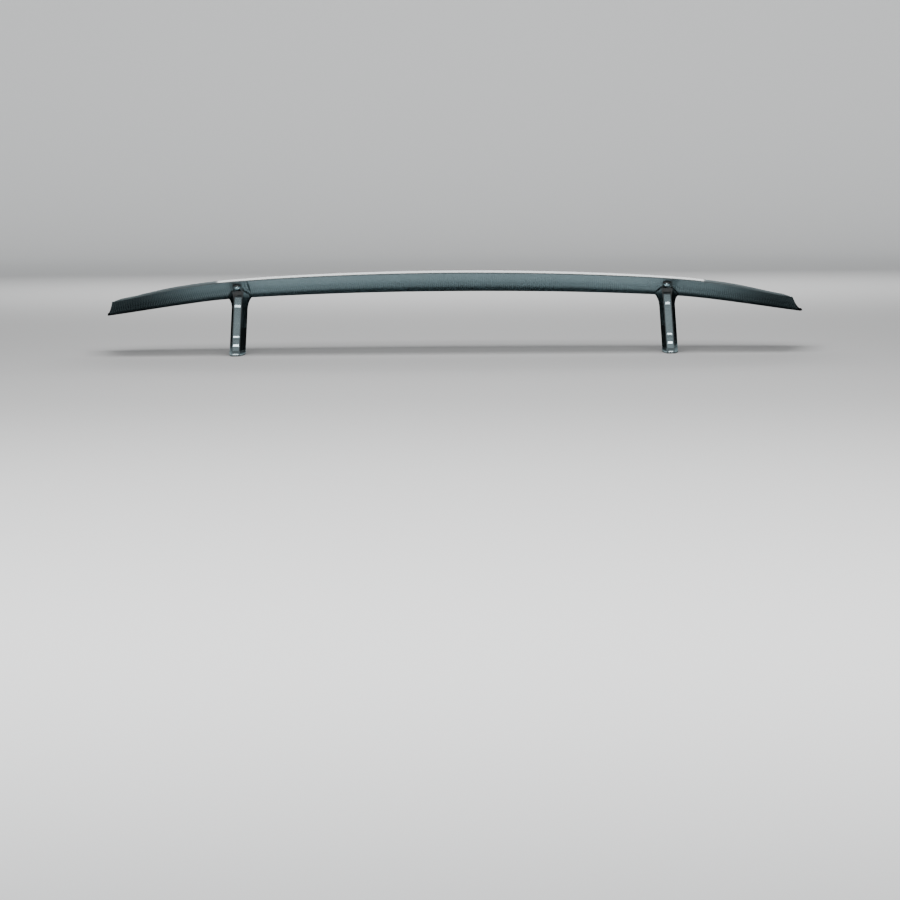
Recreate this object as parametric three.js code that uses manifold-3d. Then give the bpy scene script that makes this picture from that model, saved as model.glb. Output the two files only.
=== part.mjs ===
// Rear wing for a mid-engined coupe: a carbon blade on two stanchions that stand on the rear deck.
// Millimetres. +X is right as seen from behind, +Y is towards the front of the car, +Z is up.
// The origin lies on the feet's seating plane, at the middle of the wing's width and depth.

import * as THREE from 'three';
import { mergeVertices } from 'three/addons/utils/BufferGeometryUtils.js';
import Module from 'manifold-3d';

const wasm = await Module();
wasm.setup();

// ---------------------------------------------------------------- driving dimensions

const HALF_SPAN = 790;          // leading edge corner to the middle of the car
const TIP_RAKE = 34;            // how much narrower the trailing edge is, each side
const RAKE_START = 600;         // the rake fades in from here to the tip
const CHORD = 262;              // chord at the middle
const TIP_TAPER = 50;           // chord lost by the tip
const TAPER_POWER = 1.6;
const THIN_START = 600;         // from here to the tip the section thins from above
const THIN_TIP = 0.3;
const FLAT_START = 700;         // from here to the tip the underside runs straight on to the nose
const FLAT_FROM = 0.15;
const FLAT_RISE = 0.107;
const PITCH = THREE.MathUtils.degToRad(9.5);
const CAMBER = 8;               // the mean line hangs this far below the chord
const THICKNESS = 26;
const EDGE = 2.4;               // thickness of the trailing edge
const TRAIL_Y = -129;           // trailing edge at the middle
const TRAIL_SWEEP = 22;         // the trailing edge comes forward this far at the tip
const TRAIL_Z = 188.3;          // top of the trailing edge at the middle
const BOW = 10.7;               // droop of the middle part at BOW_AT
const BOW_AT = 400;
const OUTER_DROOP_AT = 415;     // the straight outer panels would start level here
const OUTER_SLOPE = 0.157;
const DROOP_BLEND = 4;

const SKIN = 2.5;               // laminate thickness
const GAP = 0.3;                // clearance between neighbours
const SEAM = 0.7;               // bond line between the two skins, which thins with the section
const CAP_LENGTH = 14;          // tip cap
const SPAN_STEPS = 22;
const LIP_STEPS = 48;
const SKIN_POINTS = 11;
const NOSE_T = 0.0015;          // where the two skins meet, as a part of the chord

const LIP_HEIGHT = 6.8;
const LIP_BASE = 10;
const LIP_LEAN = 3.4;           // the rear face leans forward by this much
const LIP_TOP = 1.4;
const LIP_INSET = 8;            // the lip stops short of the tip
const LIP_RUNOUT = 26;          // its ends slope down over this length
const LIP_END_SCALE = 0.25;

const FRONT_SPAR = { at: 0.3, width: 16, height: 10, lift: -5.4 };
const REAR_SPAR = { at: 0.55, width: 14, height: 6.6, lift: -6.2 };
const RIB_STATIONS = [200, 448, 534, 650];
const RIB_THICKNESS = 4;
const RIB_FROM = 0.08;
const RIB_TO = 0.88;
const RIB_CLEAR = 1.4;          // adhesive between an inner piece and the skins

const MAST_X = 488;             // stanchion centre at the deck
const SPLAY = 9.4 / 145;        // it leans inwards towards the blade
const REAR_Y = -42;             // rear facet at the deck
const LEAN = 9 / 140;           // it leans rearwards towards the blade
const FACET_HALF = 9.2;         // half width of the rear facet, with the fairing edges
const BULGE_HALF = 17.6;        // half of the greatest thickness
const BULGE_AT = 62;
const COLUMN_CHORD = 122;
const MAST_HALF = 7.4;
const MAST_CHORD = 96;
const MAST_TOP = 134;
const FAIRING_TOP = 100;
const FLARE_RADIUS = 28;        // fillet between stanchion and blade
const FLARE_SCALE = 0.8;        // how much wider the head gets
const REAR_FLARE = 18;          // how far the head's rear face sweeps back
const HEAD_Z = 150;             // about where the stanchion's axis meets the blade
const HEAD_ROOF = 8;            // the mast ends this far below the blade

const GASKET = 2;
const SHOE_TOP = 12;
const POCKETS = [[26, 44], [48, 109], [112, 130]];   // rear facet pockets, bottom and top
const POCKET_HALF = 5.4;
const POCKET_DEPTH = 3.6;
const POCKET_RAMP = 3;

const TONGUE_HALF = 10;         // rounded mounting tongue under the blade
const TONGUE_REAR = -96;
const TONGUE_FRONT = 84;
const TONGUE_THICKNESS = 2.4;
const SHIM = 0.8;
const SADDLE_SCREWS = [TONGUE_REAR, TONGUE_FRONT];
const HARDPOINT = { half: 26, thickness: 4, from: 0.16, to: 0.9 };

const M6_RADIUS = 3;
const M6_HEAD_RADIUS = 5.25;
const M6_HEAD_HEIGHT = 3.3;
const M6_LENGTH = 9;
const SOCKET_RADIUS = 2.3;
const FOOT_SCREW_LENGTH = 26;
const FOOT_SCREW_HEAD = 5;
const FOOT_HEAD_HEIGHT = 6;
const FOOT_SOCKET = 2.5;
const CHAMFER = 0.4;
const FOOT_SCREWS = { rear: 36, front: 62 };
const FOOT_INSERTS = { rear: 16, front: 82 };
const INSERT_RADIUS = 5.5;
const INSERT_LENGTH = 22;
const INSERT_BORE = 3.4;        // tapping radius of M8
const INSERT_DEPTH = 18;
const ROUND = 12;               // facets on a small round piece

// ---------------------------------------------------------------- materials

const finish = (color, roughness, metalness) => () =>
  new THREE.MeshStandardMaterial({ color, roughness, metalness });
const carbon = finish(0x30383b, 0.22, 0.1);
const fairingCarbon = finish(0x1c2123, 0.25, 0.1);
const darkAluminium = finish(0x5c6466, 0.38, 0.7);
const structure = finish(0x2b2d2e, 0.6, 0.05);
const steel = finish(0x9a9ea0, 0.3, 0.9);
const rubber = finish(0x151616, 0.9, 0);

// ---------------------------------------------------------------- solids and booleans

function toSolid(geometry) {
  const bare = geometry.clone();
  bare.deleteAttribute('normal');
  bare.deleteAttribute('uv');
  const merged = mergeVertices(bare, 1e-4);
  return new wasm.Manifold(new wasm.Mesh({
    numProp: 3,
    vertProperties: new Float32Array(merged.attributes.position.array),
    triVerts: new Uint32Array(merged.index.array),
  }));
}

function toGeometry(solid) {
  const mesh = solid.getMesh();
  const geometry = new THREE.BufferGeometry();
  geometry.setAttribute('position', new THREE.BufferAttribute(new Float32Array(mesh.vertProperties), 3));
  geometry.setIndex(new THREE.BufferAttribute(new Uint32Array(mesh.triVerts), 1));
  return geometry;
}

function warp(geometry, place) {
  const position = geometry.attributes.position;
  const point = new THREE.Vector3();
  for (let i = 0; i < position.count; i += 1) {
    point.fromBufferAttribute(position, i);
    place(point);
    position.setXYZ(i, point.x, point.y, point.z);
  }
  geometry.computeVertexNormals();
  return geometry;
}

// A copy reflected in the car's middle plane, with its faces turned back outwards.
function mirrored(geometry) {
  const copy = geometry.clone();
  copy.scale(-1, 1, 1);
  if (!copy.index) {
    copy.setIndex([...Array(copy.attributes.position.count).keys()]);
  }
  const index = copy.index.array;
  for (let i = 0; i < index.length; i += 3) {
    [index[i], index[i + 1]] = [index[i + 1], index[i]];
  }
  return copy;
}

function outline(points) {
  return new THREE.Shape(points.map(([a, b]) => new THREE.Vector2(a, b)));
}

function extrude(shape, depth, steps) {
  return new THREE.ExtrudeGeometry(shape, { depth, steps, bevelEnabled: false, curveSegments: 8 });
}

// ---------------------------------------------------------------- blade surface

const smooth = THREE.MathUtils.smoothstep;

function chordAt(x) {
  return CHORD - TIP_TAPER * (Math.abs(x) / HALF_SPAN) ** TAPER_POWER;
}

function droopAt(x) {
  const bow = BOW * (x / BOW_AT) ** 2;
  const panel = OUTER_SLOPE * (Math.abs(x) - OUTER_DROOP_AT);
  return (bow + panel + Math.hypot(bow - panel, DROOP_BLEND)) / 2;
}

function halfThickness(t) {
  const root = 0.2969 * Math.sqrt(t);
  const rest = -0.126 * t - 0.3516 * t ** 2 + 0.2843 * t ** 3 - 0.1036 * t ** 4;
  return 5 * THICKNESS * (root + rest) + (EDGE / 2) * t;
}

const meanLine = (t) => -4 * CAMBER * t * (1 - t);
const topSide = (t) => meanLine(t) + halfThickness(t);
const underside = (t) => meanLine(t) - halfThickness(t);

// Thins the section towards the tip: the top comes down to the underside, and what stands on it with it.
function thinned(x, u, w) {
  const t = THREE.MathUtils.clamp(u / CHORD, 0, 1);
  const scale = 1 - (1 - THIN_TIP) * smooth(Math.abs(x), THIN_START, HALF_SPAN);
  const low = underside(t);
  const high = topSide(t);
  const flat = underside(Math.max(t, FLAT_FROM)) + Math.max(0, FLAT_FROM - t) * CHORD * FLAT_RISE;
  const floor = low + (flat - low) * smooth(Math.abs(x), FLAT_START, HALF_SPAN);
  return floor + (Math.min(w, high) - low) * scale + Math.max(0, w - high);
}

// Puts a point of the middle section (u back from the nose, height up from the chord) at a station x.
function onBlade(x, u, height) {
  const k = chordAt(x) / CHORD;
  const w = thinned(x, u, height);
  const ahead = (CHORD - u) * k;
  const rake = TIP_RAKE * (u / CHORD) * smooth(Math.abs(x), RAKE_START, HALF_SPAN);
  const sweep = TRAIL_SWEEP * (Math.abs(x) / HALF_SPAN) ** 2;
  return new THREE.Vector3(
    x - Math.sign(x) * rake,
    TRAIL_Y + sweep + ahead * Math.cos(PITCH) + w * k * Math.sin(PITCH),
    TRAIL_Z - droopAt(x) - ahead * Math.sin(PITCH) + w * k * Math.cos(PITCH),
  );
}

// Extrudes a section along the span, from x0 to x1, and bends it onto the blade.
function alongBlade(shape, x0, x1, steps) {
  return warp(extrude(shape, 1, steps), (point) => {
    point.copy(onBlade(x1 + (x0 - x1) * point.z, point.x, point.y));
  });
}

const spaced = (from, to, count) => {
  const turn = (t) => (1 - Math.cos(Math.PI * t)) / 2;
  return Array.from({ length: count }, (_, i) => from + (to - from) * turn(i / (count - 1)));
};

// Closed outline between two curves of the section, given as heights over t.
function between(lower, upper, from, to, count) {
  const stations = spaced(from, to, count);
  const under = stations.map((t) => [t * CHORD, lower(t)]);
  const over = stations.map((t) => [t * CHORD, upper(t)]).reverse();
  return outline([...under, ...over]);
}

// ---------------------------------------------------------------- blade pieces

const CAP_X = HALF_SPAN - CAP_LENGTH;

function skinOutline(side) {
  const outer = side > 0 ? topSide : underside;
  const middle = (t) => meanLine(t) + side * SEAM / 2;
  const inner = (t) => outer(t) - side * Math.min(SKIN, Math.abs(outer(t) - middle(t)));
  const stations = spaced(NOSE_T, 1, SKIN_POINTS);
  const outside = stations.map((t) => [t * CHORD, outer(t)]);
  const inside = spaced(0.012, 0.985, SKIN_POINTS - 2).map((t) => [t * CHORD, inner(t)]);
  const ends = [[NOSE_T * CHORD, middle(NOSE_T)], [CHORD, middle(1)]];
  const loop = [ends[0], ...outside, ends[1], ...inside.reverse()];
  return outline(side > 0 ? loop.reverse() : loop);
}

function bladeSkin(side) {
  return alongBlade(skinOutline(side), -CAP_X, CAP_X, SPAN_STEPS);
}

function trailingLip() {
  const base = (u) => topSide(u / CHORD) + GAP;
  const front = CHORD - LIP_BASE;
  const section = outline([
    [front, base(front)],
    [CHORD, base(CHORD)],
    [CHORD + 0.4, base(CHORD) + 0.8],
    [CHORD - LIP_LEAN, LIP_HEIGHT],
    [CHORD - LIP_LEAN - LIP_TOP, LIP_HEIGHT - 0.2],
    [CHORD - LIP_LEAN - LIP_TOP - 1.6, base(CHORD) + 2],
  ]);
  const reach = HALF_SPAN - LIP_INSET;
  const strip = warp(extrude(section, 1, LIP_STEPS), (point) => {
    const x = reach * (1 - 2 * point.z);
    const floor = base(point.x);
    const scale = 1 - (1 - LIP_END_SCALE) * smooth(Math.abs(x), reach - LIP_RUNOUT, reach);
    const w = floor + Math.max(0, point.y - floor) * scale;
    point.copy(onBlade(x, point.x, w));
  });
  const skin = between((t) => topSide(t) - SKIN, (t) => topSide(t) + GAP, NOSE_T, 1, SKIN_POINTS);
  return toGeometry(toSolid(strip).subtract(toSolid(alongBlade(skin, -CAP_X, CAP_X, SPAN_STEPS))));
}

function tipCap() {
  const whole = between(underside, topSide, NOSE_T, 1, SKIN_POINTS);
  return alongBlade(whole, CAP_X + GAP, HALF_SPAN, 2);
}

function sparWindow(spar, margin) {
  const u = spar.at * CHORD;
  const a = spar.width / 2 + margin;
  const b = spar.height / 2 + margin;
  return [[u - a, spar.lift - b], [u + a, spar.lift - b], [u + a, spar.lift + b], [u - a, spar.lift + b]];
}

function sparBar(spar) {
  return alongBlade(outline(sparWindow(spar, 0)), GAP - CAP_X, CAP_X - GAP, SPAN_STEPS);
}

function rib(station) {
  const clear = SKIN + RIB_CLEAR;
  const shape = between((t) => underside(t) + clear, (t) => topSide(t) - clear, RIB_FROM, RIB_TO, 10);
  for (const spar of [FRONT_SPAR, REAR_SPAR]) {
    shape.holes.push(new THREE.Path(sparWindow(spar, RIB_CLEAR).map(([a, b]) => new THREE.Vector2(a, b))));
  }
  return alongBlade(shape, station - RIB_THICKNESS / 2, station + RIB_THICKNESS / 2, 1);
}

// ---------------------------------------------------------------- stanchion

const mastX = (z) => MAST_X - SPLAY * z;
const rearY = (z) => REAR_Y - LEAN * z;

// Share of the flare reached at a depth below the blade: a quarter-round fillet.
function filletShare(depth) {
  const into = THREE.MathUtils.clamp(FLARE_RADIUS - depth, 0, FLARE_RADIUS);
  return 1 - Math.sqrt(1 - (into / FLARE_RADIUS) ** 2);
}

const flare = (z, y) => filletShare(undersideAt(mastX(HEAD_Z), y).point.z - z);

// Half width of the stanchion at distances forward of its rear facet.
function sideCurve() {
  return new THREE.SplineCurve([
    new THREE.Vector2(0, FACET_HALF),
    new THREE.Vector2(BULGE_AT * 0.45, FACET_HALF + 0.72 * (BULGE_HALF - FACET_HALF)),
    new THREE.Vector2(BULGE_AT, BULGE_HALF),
    new THREE.Vector2(BULGE_AT + 34, BULGE_HALF * 0.78),
    new THREE.Vector2(COLUMN_CHORD - 7, BULGE_HALF * 0.4),
    new THREE.Vector2(COLUMN_CHORD, GAP / 2),
  ]).getPoints(10).map((p) => [p.x, p.y]);
}

// Extrudes a plan outline (forward, sideways) up the leaning column.
function upColumn(shape, z0, z1, steps, spread) {
  return warp(extrude(shape, z1 - z0, steps), (point) => {
    const z = z0 + point.z;
    const y = rearY(z) + point.x;
    const share = spread(z, y);
    const back = REAR_FLARE * share * (1 - point.x / COLUMN_CHORD);
    point.set(mastX(z) - point.y * (1 + FLARE_SCALE * share), y - back, z);
  });
}

const straight = () => 0;

function columnOutline() {
  const half = sideCurve();
  const other = half.map(([a, b]) => [a, -b]).reverse();
  return outline([...other, ...half].reverse());
}

function box(sx, sy, sz, x, y, z) {
  const geometry = new THREE.BoxGeometry(sx, sy, sz);
  geometry.translate(x, y, z);
  return toSolid(geometry);
}

function post(radius, z0, z1, x, y) {
  const geometry = new THREE.CylinderGeometry(radius, radius, z1 - z0, ROUND);
  geometry.rotateX(Math.PI / 2);
  geometry.translate(x, y, (z0 + z1) / 2);
  return toSolid(geometry);
}

function mastPrism(half, from, to, z0, z1) {
  const section = outline([[from, -half], [from, half], [to, half], [to, -half]].reverse());
  return toSolid(upColumn(section, z0, z1, 1, straight));
}

// A pocket in the rear facet, with an upward-facing ramp at its bottom.
function pocket([low, high]) {
  const outside = -4;
  const section = outline([[outside, low - POCKET_RAMP], [POCKET_DEPTH, low + POCKET_RAMP],
    [POCKET_DEPTH, high], [outside, high]]);
  const geometry = extrude(section, 2 * POCKET_HALF, 1);
  return toSolid(warp(geometry, (point) => {
    const z = point.y;
    point.set(mastX(z) + point.z - POCKET_HALF, rearY(z) + point.x, z);
  }));
}

function footHoles(clearance) {
  const at = (a) => [mastX(0), REAR_Y + a];
  const screws = Object.values(FOOT_SCREWS).map((a) => {
    const [x, y] = at(a);
    const seat = GASKET + FOOT_HEAD_HEIGHT;
    const shank = post(M6_RADIUS + clearance, 1, seat + FOOT_SCREW_LENGTH, x, y);
    return shank.add(post(FOOT_SCREW_HEAD + clearance, -1, seat + 2 * clearance, x, y));
  });
  const inserts = Object.values(FOOT_INSERTS).map((a) => {
    const [x, y] = at(a);
    return post(INSERT_RADIUS + clearance, -1, GASKET + GAP + INSERT_LENGTH + clearance, x, y);
  });
  return [...screws, ...inserts].reduce((sum, next) => sum.add(next));
}

function mast() {
  let body = mastPrism(MAST_HALF, 0, MAST_CHORD, SHOE_TOP + GAP, MAST_TOP);
  body = body.subtract(bladeAbove(HEAD_ROOF));
  for (const range of POCKETS) {
    body = body.subtract(pocket(range));
  }
  return toGeometry(body.subtract(footHoles(GAP)));
}

function fairing(side) {
  const half = sideCurve();
  const inner = [[MAST_CHORD + GAP, GAP / 2], [MAST_CHORD + GAP, MAST_HALF + GAP], [0, MAST_HALF + GAP]];
  const loop = [...half, ...inner].map(([a, b]) => [a, -side * b]);
  const shape = outline(side > 0 ? loop.reverse() : loop);
  return upColumn(shape, SHOE_TOP + GAP, FAIRING_TOP, 8, straight);
}

function footPlate(z0, z1, holes) {
  const plate = toSolid(upColumn(columnOutline(), z0, z1, 1, straight));
  return toGeometry(plate.subtract(holes));
}

// A section extruded over the stretch of blade above the stanchion, on the skins' own stations.
function aroundStanchion(shape) {
  const step = 2 * CAP_X / SPAN_STEPS;
  const outer = CAP_X - step * Math.floor((CAP_X - MAST_X) / step - 0.5);
  return toSolid(alongBlade(shape, outer - 2 * step, outer, 2));
}

// Everything within a plan outline that lies between two offsets below the blade's underside.
function underBlade(above, below, prism) {
  const shape = between((t) => underside(t) - below, (t) => underside(t) - above, NOSE_T, 1, SKIN_POINTS);
  return aroundStanchion(shape).intersect(prism);
}

function tonguePrism() {
  const x = mastX(HEAD_Z);
  const length = TONGUE_FRONT - TONGUE_REAR;
  const middle = (TONGUE_FRONT + TONGUE_REAR) / 2;
  const ends = [TONGUE_REAR, TONGUE_FRONT].map((y) => post(TONGUE_HALF, 80, 230, x, y));
  return box(2 * TONGUE_HALF, length, 150, x, middle, 155).add(ends[0]).add(ends[1]);
}

function headColumn(z0, z1) {
  return toSolid(upColumn(columnOutline(), z0, z1, 10, flare));
}

function headPrism() {
  const wide = () => filletShare(SHIM + 2 * GAP);
  return toSolid(upColumn(columnOutline(), 80, 230, 1, wide));
}

function screwHoles(radius) {
  return SADDLE_SCREWS.map((y) => {
    const { point, normal } = undersideAt(mastX(HEAD_Z), y);
    const geometry = new THREE.CylinderGeometry(radius, radius, 60, ROUND);
    geometry.applyQuaternion(new THREE.Quaternion().setFromUnitVectors(new THREE.Vector3(0, 1, 0), normal));
    geometry.translate(point.x, point.y, point.z);
    return toSolid(geometry);
  }).reduce((sum, next) => sum.add(next));
}

// The point of the underside above or below a place in plan, and its outward normal.
function undersideAt(x, y) {
  let low = 0.02;
  let high = 0.99;
  const at = (t, dx) => onBlade(x + dx, t * CHORD, underside(t));
  for (let i = 0; i < 40; i += 1) {
    const t = (low + high) / 2;
    if (at(t, 0).y > y) {
      low = t;
    } else {
      high = t;
    }
  }
  const along = at(low + 0.002, 0).sub(at(low - 0.002, 0));
  const across = at(low, 2).sub(at(low, -2));
  const normal = along.cross(across).normalize();
  if (normal.z > 0) {
    normal.negate();
  }
  return { point: at(low, 0), normal };
}

// The space of the blade above the stanchion, reaching a distance below its underside.
function bladeAbove(distance) {
  return underBlade(-60, distance, box(400, 600, 400, MAST_X, 0, 160));
}

function saddle() {
  const near = SHIM + 2 * GAP;
  const tall = mastPrism(MAST_HALF + GAP, -20, MAST_CHORD + GAP, FAIRING_TOP - 10, MAST_TOP + GAP);
  const socket = tall.subtract(bladeAbove(HEAD_ROOF - GAP));
  const head = headColumn(FAIRING_TOP + GAP, HEAD_Z + 20).subtract(bladeAbove(near));
  const tongue = underBlade(near, near + TONGUE_THICKNESS, tonguePrism());
  return toGeometry(head.add(tongue).subtract(socket).subtract(screwHoles(M6_RADIUS + GAP)));
}

function saddleShim() {
  const layer = underBlade(GAP, GAP + SHIM, tonguePrism().add(headPrism()));
  return toGeometry(layer.subtract(screwHoles(M6_RADIUS + GAP)));
}

function hardpoint() {
  const rise = SKIN + RIB_CLEAR;
  const roof = (t) => Math.min(underside(t) + rise + HARDPOINT.thickness, topSide(t) - rise);
  const shape = between((t) => underside(t) + rise, roof, HARDPOINT.from, HARDPOINT.to, 12);
  const x = mastX(HEAD_Z);
  const plate = aroundStanchion(shape).intersect(box(2 * HARDPOINT.half, 400, 400, x, 0, HEAD_Z));
  return toGeometry(plate.subtract(screwHoles(M6_RADIUS + GAP)));
}

// Button-head screw with its head at the origin and its shank along +Y.
function buttonScrew() {
  const r = M6_HEAD_RADIUS;
  const h = M6_HEAD_HEIGHT;
  const profile = [[0, -h + 2], [SOCKET_RADIUS, -h + 2], [SOCKET_RADIUS, -h], [r * 0.55, -h],
    [r * 0.82, -h * 0.8], [r * 0.96, -h * 0.45], [r, -0.3], [r, 0], [M6_RADIUS, 0],
    [M6_RADIUS, M6_LENGTH - 1], [M6_RADIUS - 0.8, M6_LENGTH], [0, M6_LENGTH]];
  return new THREE.LatheGeometry(profile.map(([a, b]) => new THREE.Vector2(a, b)), ROUND);
}

function footScrew() {
  const deep = FOOT_HEAD_HEIGHT / 2;
  const end = FOOT_HEAD_HEIGHT + FOOT_SCREW_LENGTH - 1;
  const profile = [[0, deep], [FOOT_SOCKET, deep], [FOOT_SOCKET, 0], [FOOT_SCREW_HEAD - CHAMFER, 0],
    [FOOT_SCREW_HEAD, CHAMFER], [FOOT_SCREW_HEAD, FOOT_HEAD_HEIGHT], [M6_RADIUS, FOOT_HEAD_HEIGHT],
    [M6_RADIUS, end], [0, end]];
  const geometry = new THREE.LatheGeometry(profile.map(([a, b]) => new THREE.Vector2(a, b)), ROUND);
  return geometry.rotateX(Math.PI / 2);
}

function footInsert() {
  const lead = 2 * CHAMFER;
  const profile = [[0, INSERT_DEPTH], [INSERT_BORE, INSERT_DEPTH], [INSERT_BORE, lead],
    [INSERT_BORE + lead, 0], [INSERT_RADIUS, 0], [INSERT_RADIUS, INSERT_LENGTH], [0, INSERT_LENGTH]];
  const geometry = new THREE.LatheGeometry(profile.map(([a, b]) => new THREE.Vector2(a, b)), ROUND);
  return geometry.rotateX(Math.PI / 2);
}

// ---------------------------------------------------------------- assembly

const wing = new THREE.Group();

function add(name, geometry, material) {
  const mesh = new THREE.Mesh(geometry, material());
  mesh.name = name;
  wing.add(mesh);
  return mesh;
}

function addPair(name, geometry, material) {
  add(`${name}_right`, geometry, material);
  add(`${name}_left`, mirrored(geometry), material);
}

const screwCuts = screwHoles(M6_RADIUS + GAP);
const bothCuts = screwCuts.add(toSolid(mirrored(toGeometry(screwCuts))));
add('blade_lower_skin', toGeometry(toSolid(bladeSkin(-1)).subtract(bothCuts)), carbon);
add('blade_upper_skin', bladeSkin(1), carbon);
add('trailing_edge_lip', trailingLip(), carbon);
add('front_spar', sparBar(FRONT_SPAR), structure);
add('rear_spar', sparBar(REAR_SPAR), structure);
addPair('tip_cap', tipCap(), carbon);
RIB_STATIONS.forEach((station, i) => addPair(`rib_${i + 1}`, rib(station), structure));
addPair('hardpoint', hardpoint(), darkAluminium);

addPair('mast', mast(), darkAluminium);
addPair('fairing_outer', fairing(1), fairingCarbon);
addPair('fairing_inner', fairing(-1), fairingCarbon);
addPair('saddle', saddle(), fairingCarbon);
addPair('saddle_shim', saddleShim(), rubber);
addPair('foot_shoe', footPlate(GASKET + GAP, SHOE_TOP, footHoles(GAP)), darkAluminium);
addPair('foot_gasket', footPlate(0, GASKET, footHoles(GAP)), rubber);

for (const [place, y] of [['rear', SADDLE_SCREWS[0]], ['front', SADDLE_SCREWS[1]]]) {
  const { point, normal } = undersideAt(mastX(HEAD_Z), y);
  const seat = SHIM + 3 * GAP + TONGUE_THICKNESS;
  const turn = new THREE.Quaternion().setFromUnitVectors(new THREE.Vector3(0, -1, 0), normal);
  const screw = buttonScrew().applyQuaternion(turn);
  const at = point.addScaledVector(normal, seat);
  addPair(`saddle_screw_${place}`, screw.translate(at.x, at.y, at.z), steel);
}

for (const place of ['rear', 'front']) {
  const screw = footScrew().translate(mastX(0), REAR_Y + FOOT_SCREWS[place], GASKET + GAP);
  addPair(`foot_screw_${place}`, screw, steel);
  const insert = footInsert().translate(mastX(0), REAR_Y + FOOT_INSERTS[place], GASKET + GAP);
  addPair(`foot_insert_${place}`, insert, steel);
}

export default wing;
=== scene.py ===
"""The visible model of a fixed carbon rear wing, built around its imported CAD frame.

Metres, +X right as seen from behind the car, +Y towards its front, +Z up. The wing stands on z = 0.
"""
from __future__ import annotations

import logging
import math
from dataclasses import dataclass, field
from enum import Enum
from typing import Callable, Iterable, Sequence

import bmesh
import bpy
from mathutils import Matrix, Vector


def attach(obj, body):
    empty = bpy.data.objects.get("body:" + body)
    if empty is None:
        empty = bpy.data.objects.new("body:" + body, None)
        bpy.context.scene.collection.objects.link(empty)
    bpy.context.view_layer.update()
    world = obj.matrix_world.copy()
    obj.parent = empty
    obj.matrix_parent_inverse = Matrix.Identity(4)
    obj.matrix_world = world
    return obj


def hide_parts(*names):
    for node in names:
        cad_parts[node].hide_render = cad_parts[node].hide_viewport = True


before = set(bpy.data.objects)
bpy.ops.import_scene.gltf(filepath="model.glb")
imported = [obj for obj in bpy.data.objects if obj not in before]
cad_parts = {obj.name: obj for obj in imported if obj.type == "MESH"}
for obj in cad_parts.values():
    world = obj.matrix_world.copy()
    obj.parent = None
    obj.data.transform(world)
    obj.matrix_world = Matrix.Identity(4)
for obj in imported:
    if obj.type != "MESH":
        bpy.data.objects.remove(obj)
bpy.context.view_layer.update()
log = logging.getLogger("rear_wing")

MM = 0.001
ROUNDING = 1e-6
ROOT = "root"
Place = Callable[[float, float], Vector]


class Side(Enum):
    """Which of the two stanchions, or tips, as seen from behind."""

    LEFT = -1
    RIGHT = 1

    @property
    def word(self) -> str:
        """The ending that this side's nodes carry."""
        return self.name.lower()


# ------------------------------------------------------------------ finishes


class Graph:
    """A small builder for one material's node tree."""

    def __init__(self, name: str) -> None:
        """Starts a material that holds only a Principled shader and its output.

        Args:
            name: the material's name.
        """
        self.material = bpy.data.materials.new(name)
        self.material.use_nodes = True
        self.tree = self.material.node_tree
        self.shader = self.tree.nodes["Principled BSDF"]

    def node(self, kind: str, **settings: object) -> bpy.types.Node:
        """Adds a node and sets its plain properties.

        Args:
            kind: the node's type.
            **settings: its plain properties, by name.

        Returns:
            The new node.
        """
        made = self.tree.nodes.new(kind)
        for key, value in settings.items():
            setattr(made, key, value)
        return made

    def feed(self, socket: bpy.types.NodeSocket, value: object) -> None:
        """Links a socket to another one, or sets it to a number or colour.

        Args:
            socket: the input to fill.
            value: a node's output, a number or a colour.
        """
        if isinstance(value, bpy.types.NodeSocket):
            self.tree.links.new(value, socket)
        else:
            socket.default_value = value

    def math(self, operation: str, *values: object) -> bpy.types.NodeSocket:
        """Adds a Math node over numbers or sockets.

        Args:
            operation: what the node does.
            *values: its numbers or sockets, in order.

        Returns:
            The result's socket.
        """
        made = self.node("ShaderNodeMath", operation=operation)
        for socket, value in zip(made.inputs, values):
            self.feed(socket, value)
        return made.outputs[0]

    def blend(self, factor: object, first: object, second: object) -> bpy.types.NodeSocket:
        """Mixes two colours by a factor.

        Args:
            factor: 0 for the first colour and 1 for the second.
            first: the colour at 0.
            second: the colour at 1.

        Returns:
            The mixed colour's socket.
        """
        made = self.node("ShaderNodeMix", data_type="RGBA")
        self.feed(made.inputs["Factor"], factor)
        self.feed(made.inputs[6], first)
        self.feed(made.inputs[7], second)
        return made.outputs[2]

    def noise(self, scale: float, detail: float = 2.0) -> bpy.types.NodeSocket:
        """Adds a noise texture on the object's own coordinates.

        Args:
            scale: how fine the noise is.
            detail: how many finer layers it has.

        Returns:
            The value's socket.
        """
        made = self.node("ShaderNodeTexNoise")
        made.inputs["Scale"].default_value = scale
        made.inputs["Detail"].default_value = detail
        self.feed(made.inputs["Vector"], self.node("ShaderNodeTexCoord").outputs["Object"])
        return made.outputs["Fac"]

    def span(self, value: object, low: float, high: float) -> bpy.types.NodeSocket:
        """Maps a value of 0 to 1 onto low to high.

        Args:
            value: the number or socket to map.
            low: the result at 0.
            high: the result at 1.

        Returns:
            The result's socket.
        """
        made = self.node("ShaderNodeMapRange")
        self.feed(made.inputs["Value"], value)
        made.inputs["To Min"].default_value = low
        made.inputs["To Max"].default_value = high
        return made.outputs["Result"]

    def relief(self, height: object, distance: float, strength: float = 1.0) -> bpy.types.NodeSocket:
        """Turns a height into a normal by a Bump node.

        Args:
            height: the relief, 0 to 1.
            distance: its depth in metres.
            strength: how much of it is used.

        Returns:
            The normal's socket.
        """
        made = self.node("ShaderNodeBump")
        made.inputs["Distance"].default_value = distance
        made.inputs["Strength"].default_value = strength
        self.feed(made.inputs["Height"], height)
        return made.outputs["Normal"]

    def set(self, **values: object) -> None:
        """Sets the shader's sockets, named with underscores for spaces."""
        for key, value in values.items():
            self.feed(self.shader.inputs[key.replace("_", " ").title()], value)


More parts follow.
